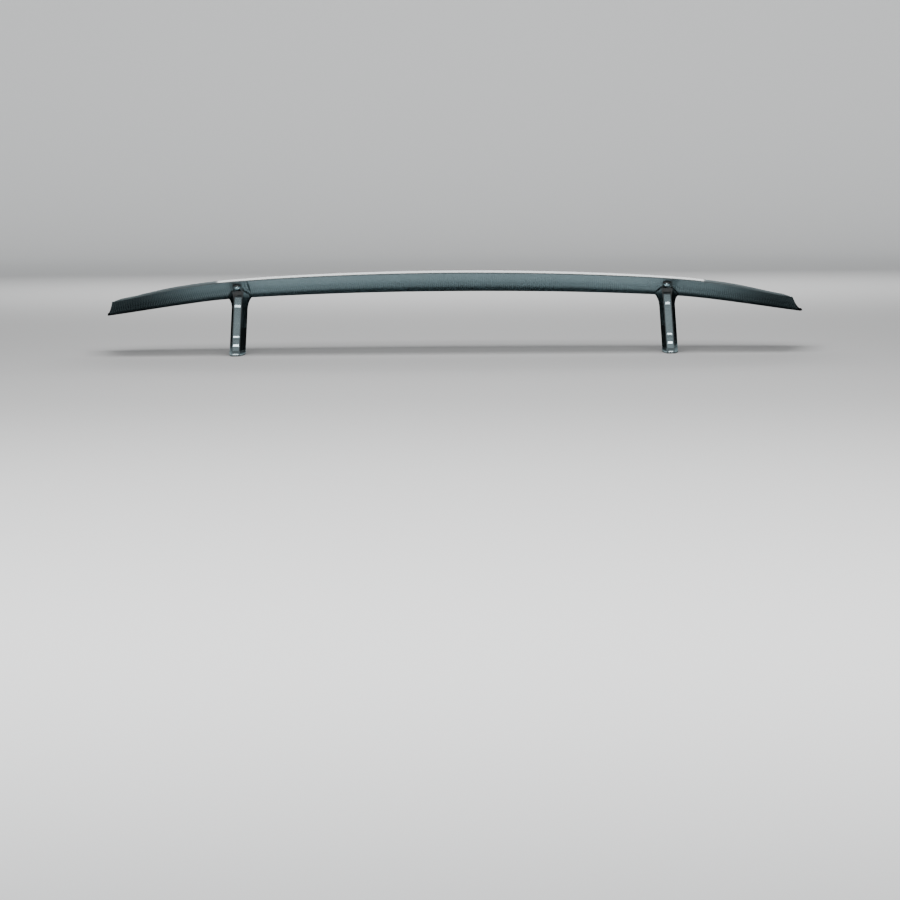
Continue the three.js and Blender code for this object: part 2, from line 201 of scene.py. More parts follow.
def grey(level: float, tint: Sequence[float] = (1.0, 1.0, 1.0)) -> tuple[float, ...]:
    """A grey of a level, with a slight tint, as a colour with alpha."""
    return (level * tint[0], level * tint[1], level * tint[2], 1.0)


# A cyan tint painted into the colours: the tint of the cool light that the lacquered carbon and the metals
# reflect.
COOL_LIGHT_TINT = (0.76, 1.0, 1.07)
BLACK = 0.003


@dataclass(frozen=True)
class TwillCarbon:
    """2x2 twill carbon cloth on the bias under a deep gloss lacquer."""

    name: str
    slot: str
    tow: float = 1.6 * MM
    dark: float = 0.004
    light: float = 0.028
    roughness: float = 0.38

    def material(self) -> bpy.types.Material:
        """Builds the cloth from the piece's own UV map, whose unit is a metre.

        Returns:
            The material, with the cloth's relief under a smooth coat, painted sheen on the warp-over tows
            and painted shade at the tows' edges.
        """
        g = Graph(self.name)
        uv = g.node("ShaderNodeUVMap", uv_map="cloth")
        parts = g.node("ShaderNodeSeparateXYZ")
        g.feed(parts.inputs[0], uv.outputs[0])
        diagonal = self.tow * math.sqrt(2)
        across = g.math("DIVIDE", g.math("ADD", parts.outputs[0], parts.outputs[1]), diagonal)
        along = g.math("DIVIDE", g.math("SUBTRACT", parts.outputs[0], parts.outputs[1]), diagonal)
        step = g.math("SUBTRACT", g.math("FLOOR", across), g.math("FLOOR", along))
        phase = g.math("FLOORED_MODULO", step, 4.0)
        warp_up = g.math("LESS_THAN", phase, 1.5)
        crown_warp = self._crown(g, along)
        crown_weft = self._crown(g, across)
        crown = g.math("ADD", g.math("MULTIPLY", warp_up, crown_warp),
                       g.math("MULTIPLY", g.math("SUBTRACT", 1.0, warp_up), crown_weft))
        # Painted sheen and shade: the warp-over tows are lighter in colour in place of the fibres' sheen,
        # and each tow darkens towards its edges as painted shade.
        painted_sheen_and_shade = g.math("MULTIPLY", g.span(warp_up, 0.16, 1.0), g.span(crown, 0.45, 1.0))
        patch = g.span(g.noise(9.0, 3.0), 0.8, 1.2)
        colour = g.blend(g.math("MULTIPLY", painted_sheen_and_shade, patch), grey(self.dark, COOL_LIGHT_TINT), grey(self.light, COOL_LIGHT_TINT))
        g.set(base_color=colour, roughness=g.span(warp_up, self.roughness, self.roughness + 0.14),
              metallic=0.35, coat_weight=1.0, coat_roughness=0.035)
        g.shader.inputs["Coat IOR"].default_value = 1.65
        # Painted cool light: the cyan coat tint gives the carbon the tint of the cool light that it
        # reflects.
        g.shader.inputs["Coat Tint"].default_value = grey(1.0, (0.86, 1.0, 1.03))
        g.set(normal=g.relief(crown, 0.00012, 0.5))
        return g.material

    @staticmethod
    def _crown(g: Graph, value: bpy.types.NodeSocket) -> bpy.types.NodeSocket:
        """The rounded profile across a tow, from 0 at its edges to 1 at its middle."""
        ramp = g.math("FRACT", value)
        return g.math("SINE", g.math("MULTIPLY", ramp, math.pi))


@dataclass(frozen=True)
class Satin:
    """A turned, cast or anodised metal with a fine grain and a gently uneven tone."""

    name: str
    slot: str
    level: float
    roughness: float
    metallic: float = 0.9
    grain: float = 900.0
    relief: float = 0.00003
    coat: float = 0.0

    def material(self) -> bpy.types.Material:
        """Builds the metal on Object coordinates.

        Returns:
            The material, with grain in its colour, roughness and relief.
        """
        g = Graph(self.name)
        grain = g.noise(self.grain, 4.0)
        broad = g.noise(35.0, 3.0)
        colour = g.blend(broad, grey(self.level * 0.8, COOL_LIGHT_TINT), grey(self.level * 1.2, COOL_LIGHT_TINT))
        g.set(base_color=colour, metallic=self.metallic, coat_weight=self.coat, coat_roughness=0.08)
        g.set(roughness=g.span(grain, self.roughness - 0.06, self.roughness + 0.08))
        g.set(normal=g.relief(grain, self.relief, 0.6))
        return g.material


@dataclass(frozen=True)
class Rubber:
    """Moulded black rubber with a fine matt skin."""

    name: str
    slot: str

    def material(self) -> bpy.types.Material:
        """Builds the rubber on Object coordinates.

        Returns:
            The material.
        """
        g = Graph(self.name)
        fine = g.noise(1400.0, 3.0)
        colour = g.blend(g.noise(60.0), grey(0.010), grey(0.022))
        g.set(base_color=colour, roughness=g.span(fine, 0.62, 0.85), normal=g.relief(fine, 0.00004, 0.7))
        return g.material


class Finishes:
    """Every finish on the wing, each made once."""

    def __init__(self) -> None:
        """Builds the materials."""
        self.blade = TwillCarbon("blade_twill_gloss", "blade_carbon")
        self.stanchion = TwillCarbon("stanchion_twill_gloss", "stanchion_carbon", dark=0.002, light=0.012)
        self.mast = Satin("mast_dark_anodised", "anodised_aluminium", 0.22, 0.26, 0.8, coat=0.5)
        # The shoe takes the mast's dark anodising made darker and duller still: painted shade for the dim
        # foot near the floor.
        self.shoe = Satin("shoe_dark_anodised", "anodised_aluminium", 0.1, 0.3, 0.6, coat=0.2)
        self.plate = Satin("hardpoint_machined", "bare_aluminium", 0.6, 0.32)
        self.steel = Satin("stainless_screw", "zinc_steel", 0.62, 0.2, 1.0, 1500.0)
        self.laminate = Satin("raw_laminate", "inner_laminate", 0.03, 0.55, 0.1, 400.0)
        self.rubber = Rubber("black_rubber", "rubber_seal")
        finishes = vars(self).values()
        self.made = {finish.name: finish.material() for finish in list(finishes)}

    def dress(self, piece: bpy.types.Object, finish: object) -> None:
        """Gives a piece one finish.

        Args:
            piece: the piece.
            finish: one of the finishes above.
        """
        piece.data.materials.clear()
        piece.data.materials.append(self.made[finish.name])


# ------------------------------------------------------------------ mesh tools


def finished(name: str, bm: bmesh.types.BMesh, sharp: float = 32.0) -> bpy.types.Object:
    """Turns a bmesh into an object at the origin, smooth but for its sharp edges.

    Args:
        name: the piece's name.
        bm: the finished bmesh, which is freed.
        sharp: the angle in degrees past which an edge stays crisp.

    Returns:
        The new object, linked to the scene.
    """
    for face in bm.faces:
        face.smooth = True
    for edge in bm.edges:
        edge.smooth = edge.calc_face_angle(0.0) < math.radians(sharp)
    mesh = bpy.data.meshes.new(name)
    bm.to_mesh(mesh)
    bm.free()
    made = bpy.data.objects.new(name, mesh)
    bpy.context.scene.collection.objects.link(made)
    return made


def loft(ring: int, rings: int, place: Place, cloth: Place | None = None) -> bmesh.types.BMesh:
    """Draws a ring of points along a path and closes both ends.

    Args:
        ring: how many points the section has.
        rings: how many sections there are.
        place: gives the point for a place round the section and one along the path, both 0 to 1.
        cloth: gives the UV, in metres, for the same two numbers.

    Returns:
        A closed bmesh with its normals outwards.
    """
    bm = bmesh.new()
    turn = bm.verts.layers.float.new("turn")
    run = bm.verts.layers.float.new("run")
    bmesh.ops.create_circle(bm, segments=ring, radius=1.0)
    bm.verts.ensure_lookup_table()
    for i, vert in enumerate(bm.verts):
        vert[turn] = i / ring
    edges = list(bm.edges)
    for k in range(1, rings):
        out = bmesh.ops.extrude_edge_only(bm, edges=edges)["geom"]
        edges = [e for e in out if isinstance(e, bmesh.types.BMEdge)]
        for vert in (v for v in out if isinstance(v, bmesh.types.BMVert)):
            vert[run] = k / (rings - 1)
    for vert in bm.verts:
        vert.co = place(vert[turn], vert[run])
    bmesh.ops.holes_fill(bm, edges=bm.edges, sides=0)
    bmesh.ops.recalc_face_normals(bm, faces=bm.faces)
    layer = bm.loops.layers.uv.new("cloth")
    for face in bm.faces:
        turns = [loop.vert[turn] for loop in face.loops]
        wraps = max(turns) - min(turns) > 0.5 and len(turns) == 4
        for loop in face.loops:
            at = loop.vert[turn] + (1.0 if wraps and loop.vert[turn] < 0.5 else 0.0)
            if cloth:
                loop[layer].uv = cloth(at, loop.vert[run])
            else:
                loop[layer].uv = (loop.vert.co.y, loop.vert.co.x)
    return bm


def along(points: Sequence[Sequence[float]], at: float) -> tuple[float, float]:
    """The point at a share of a closed polygon's corners, counted evenly by corner.

    Args:
        points: the polygon's corners.
        at: the share, where 1 is the first corner again.

    Returns:
        The point.
    """
    place = (at % 1.0) * len(points)
    low = int(place) % len(points)
    share = place - int(place)
    a, b = points[low], points[(low + 1) % len(points)]
    return a[0] + (b[0] - a[0]) * share, a[1] + (b[1] - a[1]) * share


def girth(points: list[tuple[float, float]]) -> Callable[[float], float]:
    """Measures a closed polygon.

    Args:
        points: its corners.

    Returns:
        A function that gives the length from the first corner to a share of the corners.
    """
    lengths = [0.0]
    for a, b in zip(points, points[1:] + points[:1]):
        lengths.append(lengths[-1] + math.dist(a, b))

    def measure(at: float) -> float:
        """The length up to there.

        Args:
            at: the share of the corners.

        Returns:
            The length in the corners' own unit.
        """
        share = min(at, 1.0) * len(points)
        low = min(int(share + ROUNDING), len(points) - 1)
        return lengths[low] + (lengths[low + 1] - lengths[low]) * (share - low)

    return measure


def cut(piece: bpy.types.Object, cutters: Iterable[bpy.types.Object]) -> None:
    """Takes the cutters out of a piece and removes them.

    Args:
        piece: the piece, which keeps its name.
        cutters: closed shapes to take out of it.
    """
    for cutter in cutters:
        boolean = piece.modifiers.new("cut", "BOOLEAN")
        boolean.operation = "DIFFERENCE"
        boolean.solver = "EXACT"
        boolean.object = cutter
        bpy.context.view_layer.update()
        evaluated = piece.evaluated_get(bpy.context.evaluated_depsgraph_get())
        mesh = bpy.data.meshes.new_from_object(evaluated)
        piece.modifiers.clear()
        old = piece.data
        piece.data = mesh
        bpy.data.meshes.remove(old)
        bpy.data.objects.remove(cutter)
    piece.data.set_sharp_from_angle(angle=math.radians(30.0))
    crisp_ramps(piece.data)


def crisp_ramps(mesh: bpy.types.Mesh) -> None:
    """Keeps the edges crisp round every face that looks back and a little up.

    Args:
        mesh: the mesh of a piece with pockets.
    """
    bm = bmesh.new()
    bm.from_mesh(mesh)
    ramps = {face for face in bm.faces if face.normal.y < -0.8 and 0.15 < face.normal.z < 0.6}
    for edge in bm.edges:
        if len(ramps.intersection(edge.link_faces)) == 1:
            edge.smooth = False
    bm.to_mesh(mesh)
    bm.free()


def soften(piece: bpy.types.Object, width: float, segments: int = 2, angle: float = 40.0) -> None:
    """Breaks a piece's sharp edges with a live Bevel modifier.

    Args:
        piece: the piece.
        width: the bevel's width in metres.
        segments: its steps.
        angle: the angle in degrees past which an edge is broken.
    """
    bevel = piece.modifiers.new("edge_break", "BEVEL")
    bevel.width = width
    bevel.segments = segments
    bevel.limit_method = "ANGLE"
    bevel.angle_limit = math.radians(angle)
    bevel.harden_normals = True


def smoothstep(value: float, low: float, high: float) -> float:
    """The usual smooth step from 0 at low to 1 at high."""
    t = min(1.0, max(0.0, (value - low) / (high - low)))
    return t * t * (3.0 - 2.0 * t)


# ------------------------------------------------------------------ blade


@dataclass(frozen=True)
class BladeShape:
    """The blade's surface: a downforce section, tapered, bowed and raked along the span."""

    half_span: float = 0.790
    tip_rake: float = 0.034
    rake_start: float = 0.600
    chord: float = 0.262
    tip_taper: float = 0.050
    taper_power: float = 1.6
    thin_start: float = 0.600
    thin_tip: float = 0.3
    flat_start: float = 0.700
    flat_from: float = 0.15
    flat_rise: float = 0.107
    edge_slope: float = 0.364
    pitch: float = math.radians(9.5)
    camber: float = 0.008
    thickness: float = 0.026
    edge: float = 0.0024
    trail_y: float = -0.129
    trail_sweep: float = 0.022
    trail_z: float = 0.1883
    bow: float = 0.0107
    bow_at: float = 0.400
    outer_droop_at: float = 0.415
    outer_slope: float = 0.157
    droop_blend: float = 0.004

    def chord_at(self, x: float) -> float:
        """The chord at a station."""
        return self.chord - self.tip_taper * (abs(x) / self.half_span) ** self.taper_power

    def droop_at(self, x: float) -> float:
        """How far the trailing edge hangs below its height at the middle.

        Args:
            x: the station, in metres from the blade's middle.

        Returns:
            The droop in metres.
        """
        bow = self.bow * (x / self.bow_at) ** 2
        panel = self.outer_slope * (abs(x) - self.outer_droop_at)
        return (bow + panel + math.hypot(bow - panel, self.droop_blend)) / 2

    def half_thickness(self, t: float) -> float:
        """Half the section's thickness at a share of the chord from the nose.

        Args:
            t: the share, 0 at the nose and 1 at the trailing edge.

        Returns:
            Half the thickness of the middle section.
        """
        root = 0.2969 * math.sqrt(max(t, 0.0))
        rest = -0.126 * t - 0.3516 * t**2 + 0.2843 * t**3 - 0.1036 * t**4
        return 5 * self.thickness * (root + rest) + self.edge / 2 * t

    def mean_line(self, t: float) -> float:
        """The height of the mean line, which hangs below the chord."""
        return -4 * self.camber * t * (1 - t)

    def skin(self, t: float, face: int) -> float:
        """The height of the top (face 1) or the underside (face -1)."""
        return self.mean_line(t) + face * self.half_thickness(t)

    def edge_u(self, w: float) -> float:
        """How far back the lip's leaning rear face is at a height above the trailing edge."""
        return self.chord - (w - self.edge / 2) * self.edge_slope

    def thinned(self, x: float, u: float, w: float) -> float:
        """A height once the section thins towards the tip, its top coming down to its underside.

        Args:
            x: the station, in metres from the blade's middle.
            u: how far back from the nose the point is in the middle section.
            w: its height there.

        Returns:
            The height at this station.
        """
        if abs(x) <= self.thin_start:
            return w
        t = min(1.0, max(0.0, u / self.chord))
        scale = 1 - (1 - self.thin_tip) * smoothstep(abs(x), self.thin_start, self.half_span)
        low, high = self.skin(t, -1), self.skin(t, 1)
        flat = self.skin(max(t, self.flat_from), -1)
        flat += max(0.0, self.flat_from - t) * self.chord * self.flat_rise
        floor = low + (flat - low) * smoothstep(abs(x), self.flat_start, self.half_span)
        return floor + (min(w, high) - low) * scale + max(0.0, w - high)

    def point(self, x: float, u: float, height: float) -> Vector:
        """Puts a point of the middle section, u back from the nose and at a height, at a station.

        Args:
            x: the station, in metres from the blade's middle.
            u: how far back from the nose the point is in the middle section.
            height: its height there.

        Returns:
            The point in the wing's frame.
        """
        w = self.thinned(x, u, height)
        k = self.chord_at(x) / self.chord
        ahead = (self.chord - u) * k
        rake = self.tip_rake * (u / self.chord) * smoothstep(abs(x), self.rake_start, self.half_span)
        sweep = self.trail_sweep * (abs(x) / self.half_span) ** 2
        return Vector((
            x - math.copysign(rake, x),
            self.trail_y + sweep + ahead * math.cos(self.pitch) + w * k * math.sin(self.pitch),
            self.trail_z - self.droop_at(x) - ahead * math.sin(self.pitch) + w * k * math.cos(self.pitch),
        ))

    def under(self, x: float, y: float) -> Vector:
        """The point of the underside above a place in plan.

        Args:
            x: the station, in metres from the blade's middle.
            y: the place along the car.

        Returns:
            The point in the wing's frame.
        """
        low, high = 0.02, 0.995
        for _ in range(26):
            t = (low + high) / 2
            if self.point(x, t * self.chord, self.skin(t, -1)).y > y:
                low = t
            else:
                high = t
        return self.point(x, low * self.chord, self.skin(low, -1))

    def under_normal(self, x: float, y: float) -> Vector:
        """The underside's normal there, pointing down out of the blade.

        Args:
            x: the station, in metres from the blade's middle.
            y: the place along the car.

        Returns:
            The unit normal.
        """
        reach = 1.5 * MM
        along_y = self.under(x, y + reach) - self.under(x, y - reach)
        along_x = self.under(x + reach, y) - self.under(x - reach, y)
        normal = along_x.cross(along_y).normalized()
        return -normal if normal.z > 0 else normal


@dataclass
class Blade:
    """The hollow blade: two skins, the trailing lip and the two tip caps."""

    shape: BladeShape = field(default_factory=BladeShape)
    wall: float = 2.5 * MM
    bond: float = 0.3 * MM
    nose_t: float = 0.0015
    inner_span: tuple[float, float] = (0.012, 0.985)
    cap_length: float = 0.014
    section_points: int = 44
    stations: int = 150
    lip_height: float = 0.0066
    lip_base: float = 0.010
    lip_top: float = 0.0014
    lip_inset: float = 0.0015
    lip_runout: float = 0.024
    lip_end: float = 0.08
    cap_round: float = 0.0009

    @property
    def cap_x(self) -> float:
        """The station where the skins end and the tip caps start."""
        return self.shape.half_span - self.cap_length

    def _spaced(self) -> list[float]:
        """Shares of 0 to 1 that crowd together at both ends."""
        count = self.section_points
        return [(1 - math.cos(math.pi * i / count)) / 2 for i in range(count + 1)]

    def _outer(self) -> list[float]:
        """The chord shares of a skin's outer points."""
        return [self.nose_t + (1 - self.nose_t) * t for t in self._spaced()]

    def _skin_section(self, face: int) -> list[tuple[float, float]]:
        """The closed outline of one skin, outer side first from the nose to the trailing edge.

        Args:
            face: 1 for the top skin and -1 for the bottom one.

        Returns:
            The outline's corners: the distance back from the nose, and the height.
        """
        s = self.shape
        inner_start, inner_end = self.inner_span
        inner = [inner_start + (inner_end - inner_start) * t for t in self._spaced()[::2]]

        def inside(t: float) -> float:
            """The inner side, which stops at the mean line where the blade is thin."""
            middle = s.mean_line(t) + face * self.bond / 2
            return s.skin(t, face) - face * min(self.wall, abs(s.skin(t, face) - middle))

        nose = (self.nose_t * s.chord, s.mean_line(self.nose_t) + face * self.bond / 2)
        tail = (s.chord, face * self.bond / 2)
        loop = [nose] + [(t * s.chord, s.skin(t, face)) for t in self._outer()] + [tail]
        return loop + [(t * s.chord, inside(t)) for t in reversed(inner)]

    def _spanwise(self, section: list[tuple[float, float]], start: float, end: float,
                  rings: int) -> bmesh.types.BMesh:
        """Draws a section along the span between two stations, with its cloth laid on it.

        Args:
            section: the outline's corners.
            start: the first station.
            end: the last station.
            rings: how many sections there are.

        Returns:
            The closed bmesh.
        """
        s = self.shape
        measure = girth(section)

        def place(at: float, run: float) -> Vector:
            """The point of the section at a station."""
            u, w = along(section, at)
            return s.point(start + (end - start) * run, u, w)

        def cloth(at: float, run: float) -> tuple[float, float]:
            """The cloth's own coordinates there."""
            x = start + (end - start) * run
            return measure(at) * s.chord_at(x) / s.chord, x

        return loft(len(section), rings, place, cloth)

    def skin(self, face: int) -> bpy.types.Object:
        """Builds the top (face 1) or bottom (face -1) skin.

        Args:
            face: which skin.

        Returns:
            The new piece.
        """
        name = "top_shell" if face > 0 else "bottom_shell"
        section = self._skin_section(face)
        return finished(name, self._spanwise(section, -self.cap_x, self.cap_x, self.stations))

    def lip(self) -> bpy.types.Object:
        """Builds the trailing lip, which runs out to a low end before each tip.

        Returns:
            The new piece.
        """
        s = self.shape
        c = s.chord
        base = [s.skin((c - back) / c, 1) + self.bond for back in (self.lip_base, self.lip_base / 2, 0.0)]
        top = self.lip_height
        crest = s.edge_u(top)
        rear = [base[2], base[2] + 0.0003, (base[2] + top) / 2, top - 0.0005, top - 0.0002]
        section = [(c - self.lip_base, base[0]), (c - self.lip_base / 2, base[1])]
        section += [(s.edge_u(w), w) for w in rear]
        section += [
            (crest - 0.0002, top), (crest - self.lip_top, top - 0.0002),
            (crest - self.lip_top - 0.0007, top - 0.0008),
            (crest - self.lip_top - 0.0020, base[1] + 0.0016),
            (c - self.lip_base + 0.0012, base[0] + 0.0003),
        ]
        reach = s.half_span - self.lip_inset

        def place(at: float, run: float) -> Vector:
            """The point of the section at a station, lowered towards the tips.

            Args:
                at: the share of the way round the section.
                run: the share of the way along it.

            Returns:
                The point in the wing's frame.
            """
            x = reach * math.sin(math.pi * (run - 0.5))
            u, w = along(section, at)
            floor = s.skin(min(u / c, 1.0), 1) + self.bond
            low = max(0.0, (abs(x) - reach) / self.lip_runout + 1.0)
            return s.point(x, u, floor + max(0.0, w - floor) * (1 - (1 - self.lip_end) * low))

        def cloth(at: float, run: float) -> tuple[float, float]:
            """The cloth's own coordinates there."""
            return at * 0.03, reach * math.sin(math.pi * (run - 0.5))

        return finished("trailing_lip", loft(len(section), self.stations, place, cloth), 50.0)

    def tip(self, side: Side) -> bpy.types.Object:
        """Builds one tip cap with a rounded outer rim.

        Args:
            side: the end of the blade.

        Returns:
            The new piece.
        """
        s = self.shape
        stations = self._outer()
        under = [(t * s.chord, s.skin(t, -1)) for t in stations]
        over = [(t * s.chord, s.skin(t, 1)) for t in reversed(stations)]
        bm = self._spanwise(under + over, side.value * (self.cap_x + self.bond), side.value * s.half_span, 4)
        rim = [e for e in bm.edges if self._on_rim(e, side)]
        bmesh.ops.bevel(bm, geom=rim, offset=self.cap_round, segments=3, profile=0.5,
                        affect="EDGES", material=-1, clamp_overlap=True)
        return finished(f"tip_{side.word}", bm, 40.0)

    def _on_rim(self, edge: bmesh.types.BMEdge, side: Side) -> bool:
        """Whether an edge borders the cap's big outer face.

        Args:
            edge: an edge of the cap.
            side: the cap's end of the blade.

        Returns:
            True for an edge of the outer rim.
        """
        return any(len(face.verts) > 8 and face.calc_center_median().x * side.value
                   > edge.verts[0].co.x * side.value - 0.004 and
                   face.normal.x * side.value > 0.5 for face in edge.link_faces)

    def build(self, finishes: Finishes) -> None:
        """Makes, dresses and places every piece of the blade.

        Args:
            finishes: the wing's finishes.
        """
        pieces = [
            (self.skin(-1), ["blade_lower_skin"]),
            (self.skin(1), ["blade_upper_skin"]),
            (self.lip(), ["trailing_edge_lip"]),
        ]
        pieces += [(self.tip(side), [f"tip_cap_{side.word}"]) for side in Side]
        for piece, nodes in pieces:
            install(piece, nodes, finishes, finishes.blade)


# ------------------------------------------------------------------ stanchions


@dataclass(frozen=True)
class Pocket:
    """A recess in the rear facet, whose bottom ramp faces up and back."""

    low: float
    high: float
    deep: float
    slope: float
    half: float = 6.5 * MM
    face: float = 0.0


@dataclass
class Stanchion:
    """One stanchion: mast, side fairings, flared saddle, its screws, and the foot."""

    side: Side
    blade: BladeShape
    mast_x: float = 0.488
    splay: float = 9.4 / 145
    rear_y: float = -0.042
    lean: float = 9 / 140
    facet_half: float = 0.0092
    bulge_half: float = 0.0176
    bulge_at: float = 0.062
    column_chord: float = 0.122
    mast_half: float = 0.0074
    mast_chord: float = 0.096
    mast_top: float = 0.134
    mast_front_top: float = 0.118
    socket_reach: float = 0.010
    fairing_top: float = 0.100
    flare_radius: float = 0.028
    flare_scale: float = 0.8
    rear_flare: float = 0.018
    flange: float = 1.4 * MM
    head_z: float = 0.150
    gap: float = 0.3 * MM
    gasket: float = 0.002
    shoe_top: float = 0.012
    shim: float = 0.8 * MM
    tongue_half: float = 0.010
    tongue_ends: tuple[float, float] = (-0.096, 0.084)
    tongue_thickness: float = 2.4 * MM
    pockets: tuple[Pocket, ...] = (
        Pocket(0.0225, 0.0395, 2.6 * MM, 1.7),
        Pocket(0.0430, 0.1085, 1.6 * MM, 1.7),
        Pocket(0.1110, 0.1285, 1.6 * MM, 3.1),
    )
    shoe_pocket: Pocket = Pocket(0.0034, 0.0108, 1.3 * MM, 1.7)
    head_pocket: Pocket = Pocket(0.1347, 0.1440, 1.3 * MM, 3.2, 8.5 * MM, -2.6 * MM)
    pocket_round: float = 2.0 * MM

    def at(self, forward: float, sideways: float, z: float) -> Vector:
        """A point of the leaning column: forward of the rear facet, and outwards from its middle."""
        x = self.mast_x - self.splay * z + sideways
        return Vector((self.side.value * x, self.rear_y - self.lean * z + forward, z))

    def half_width(self, a: float) -> float:
        """Half the column's width at a distance forward of the rear facet.

        Args:
            a: the distance.

        Returns:
            Half the width in metres.
        """
        if a <= self.bulge_at:
            swell = math.sin(math.pi / 2 * a / self.bulge_at)
            return self.facet_half + (self.bulge_half - self.facet_half) * swell
        ahead = (a - self.bulge_at) / (self.column_chord - self.bulge_at)
        return self.bulge_half * math.sqrt(max(0.0, 1 - ahead**2))

    def _half_outline(self, count: int = 26) -> list[tuple[float, float]]:
        """One side of the column's plan, from the rear facet's corner to the nose.

        Args:
            count: how many steps its front part has.

        Returns:
            The outline's corners: the distance forward of the facet, and sideways.
        """
        rear = [self.bulge_at * i / (count // 2) for i in range(count // 2)]
        nose = self.column_chord - self.bulge_at
        front = [self.bulge_at + nose * math.sin(math.pi / 2 * i / count) for i in range(count + 1)]
        return [(a, self.half_width(a)) for a in rear + front]

    def _outline(self, count: int) -> list[tuple[float, float]]:
        """The column's whole plan."""
        half = self._half_outline(count)
        return half + [(a, -b) for a, b in reversed(half[:-1])]

    def _upwards(self, outline: list[tuple[float, float]], z0: float, z1: float,
                 rings: int) -> bmesh.types.BMesh:
        """Draws a plan outline up the column.

        Args:
            outline: the outline's corners.
            z0: the lower height.
            z1: the upper height.
            rings: how many sections there are.

        Returns:
            The closed bmesh.
        """
        measure = girth(outline)

        def place(at: float, run: float) -> Vector:
            """The outline's point at a height."""
            forward, sideways = along(outline, at)
            return self.at(forward, sideways, z0 + (z1 - z0) * run)

        def cloth(at: float, run: float) -> tuple[float, float]:
            """The cloth's own coordinates there."""
            return z0 + (z1 - z0) * run, measure(at)

        return loft(len(outline), rings, place, cloth)

    def fairing(self, outward: int) -> bpy.types.Object:
        """Builds the outer (1) or inner (-1) carbon side shell.

        Args:
            outward: 1 for the outer shell and -1 for the inner one.

        Returns:
            The new piece.
        """
        inner = self.mast_half + self.gap
        step = self.mast_chord + self.gap
        half = self._half_outline()[:-1] + [(self.column_chord, self.gap / 2)]
        outline = half + [(step, self.gap / 2), (step, inner), (0.0, inner)]
        outline = [(a, outward * b) for a, b in outline]
        word = "outer" if outward > 0 else "inner"
        piece = finished(f"fairing_{word}_shell_{self.side.word}",
                         self._upwards(outline, self.shoe_top + self.gap, self.fairing_top, 10))
        soften(piece, 0.35 * MM)
        return piece

    def _block(self, name: str, corners: Callable[[float, float, float], Vector],
               rounding: float = 0.0) -> bpy.types.Object:
        """A cube whose corners are mapped to places, with its front-to-back edges rounded.

        Args:
            name: the piece's name.
            corners: gives the place of a corner of -1 and 1.
            rounding: the radius of its front-to-back edges.

        Returns:
            The new piece.
        """
        bm = bmesh.new()
        bmesh.ops.create_cube(bm, size=2.0)
        edges = [e for e in bm.edges if abs(e.verts[0].co.y - e.verts[1].co.y) > 1.0]
        for vert in bm.verts:
            vert.co = corners(*vert.co)
        if rounding:
            bmesh.ops.bevel(bm, geom=edges, offset=rounding, segments=8, profile=0.5,
                            affect="EDGES", material=-1, clamp_overlap=True)
        bmesh.ops.recalc_face_normals(bm, faces=bm.faces)
        bm.loops.layers.uv.new("cloth")
        return finished(name, bm)

    def _pocket(self, recess: Pocket) -> bpy.types.Object:
        """The cutter of one pocket in the rear facet.

        Args:
            recess: the pocket's sizes.

        Returns:
            The cutter.
        """

        def corner(x: float, y: float, z: float) -> Vector:
            """Maps a cube's corner: x across, y forward, z up.

            Args:
                x: the corner's side, -1 or 1.
                y: its end, -1 or 1.
                z: its level, -1 or 1.

            Returns:
                The corner of the cutter.
            """
            depth = recess.deep if y > 0 else -4 * recess.deep
            height = recess.high if z > 0 else recess.low + recess.slope * depth
            return self.at(recess.face + depth, x * recess.half, height)

        return self._block("pocket", corner, self.pocket_round)

    def mast(self) -> bpy.types.Object:
        """Builds the core with its pocketed rear facet and a ramp at its top.

        Returns:
            The new piece.
        """

        def corner(x: float, y: float, z: float) -> Vector:
            """Maps a cube's corner to the core's.

            Args:
                x: the corner's side, -1 or 1.
                y: its end, -1 or 1.
                z: its level, -1 or 1.

            Returns:
                The corner of the core.
            """
            top = self.mast_top if y < 0 else self.mast_front_top
            return self.at(0.0 if y < 0 else self.mast_chord, x * self.mast_half,
                           top if z > 0 else self.shoe_top + self.gap)

        piece = self._block(f"mast_core_{self.side.word}", corner)
        cut(piece, [self._pocket(recess) for recess in self.pockets])
        soften(piece, 0.45 * MM, 2)
        return piece

    def _fillet(self, depth: float) -> float:
        """The share of the head's flare reached at a depth below the blade."""
        into = min(self.flare_radius, max(0.0, self.flare_radius - depth))
        return 1 - math.sqrt(max(0.0, 1 - (into / self.flare_radius) ** 2))

    def _seat(self, x: float, y: float, below: float) -> float:
        """The height of a place a distance below the blade's underside."""
        return self.blade.under(x, y).z - below

    def saddle(self) -> bpy.types.Object:
        """Builds the flared head: the column widens by a fillet and follows the blade.

        Returns:
            The new piece.
        """
        near = self.shim + 2 * self.gap
        outline = self._outline(22)
        rings = 30
        bottom = self.fairing_top + self.gap
        top_x = self.mast_x - self.splay * self.head_z

        def place(at: float, run: float) -> Vector:
            """The head's skin, from the flat joint up to the blade.

            Args:
                at: the share of the way round the outline.
                run: the share of the way up.

            Returns:
                The point in the wing's frame.
            """
            forward, sideways = along(outline, at)
            share = math.sin(math.pi / 2 * run)
            y = self.at(forward, 0.0, bottom + 0.035 * share).y
            seat = self._seat(top_x, y, near)
            z = bottom + (seat - bottom) * share
            wide = self._fillet(max(seat - z, self.flange) + near)
            point = self.at(forward, sideways * (1 + self.flare_scale * wide), z)
            point.y = y - self.rear_flare * wide * (1 - forward / self.column_chord)
            point.z += share * (self._seat(abs(point.x), point.y, near) - seat)
            return point

        def cloth(at: float, run: float) -> tuple[float, float]:
            """The cloth's own coordinates there."""
            forward, sideways = along(outline, at)
            return bottom + 0.04 * run, forward + abs(sideways)

        piece = finished(f"saddle_head_{self.side.word}", loft(len(outline), rings, place, cloth))
        margin = self.mast_half + self.gap

